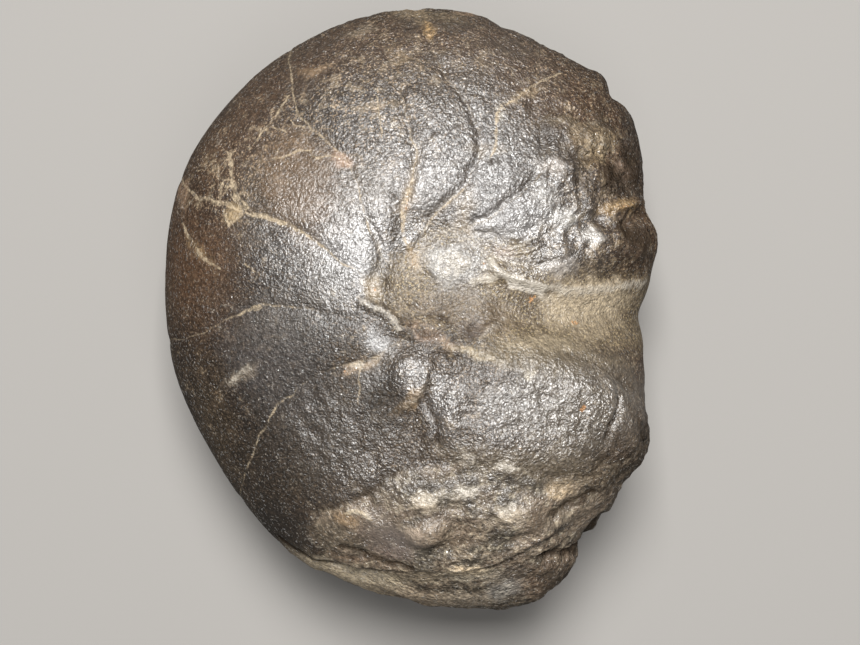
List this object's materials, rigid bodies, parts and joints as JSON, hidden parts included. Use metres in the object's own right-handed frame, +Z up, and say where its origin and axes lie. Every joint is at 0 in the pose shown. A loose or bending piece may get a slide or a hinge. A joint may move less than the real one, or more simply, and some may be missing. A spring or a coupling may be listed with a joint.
{
  "type": "fossil nautilus",
  "caption": "Dark stone cast of a coiled nautiloid shell on its side: grooved septa, hollow umbilicus, broken living chamber, small worn flat to lie on.",
  "frame": {"origin": "centre of the bounding box in plan, at the worn flat that the fossil lies on", "axes": "+Z up along the coil axis, out of the face that is seen; +Y along the longest extent, away from the broken living chamber; +X towards the first-formed part of the whorl"},
  "size_m": [0.0978, 0.1198, 0.0756],
  "materials": {
    "fossil_stone": "dark brownish-black glossy pebbled cast with pale tan suture lines, and duller olive-brown rock in the umbilicus and on the broken end"
  },
  "bodies": {
    "root": {"fossil_nautilus": "fossil_stone"}
  },
  "joints": []
}
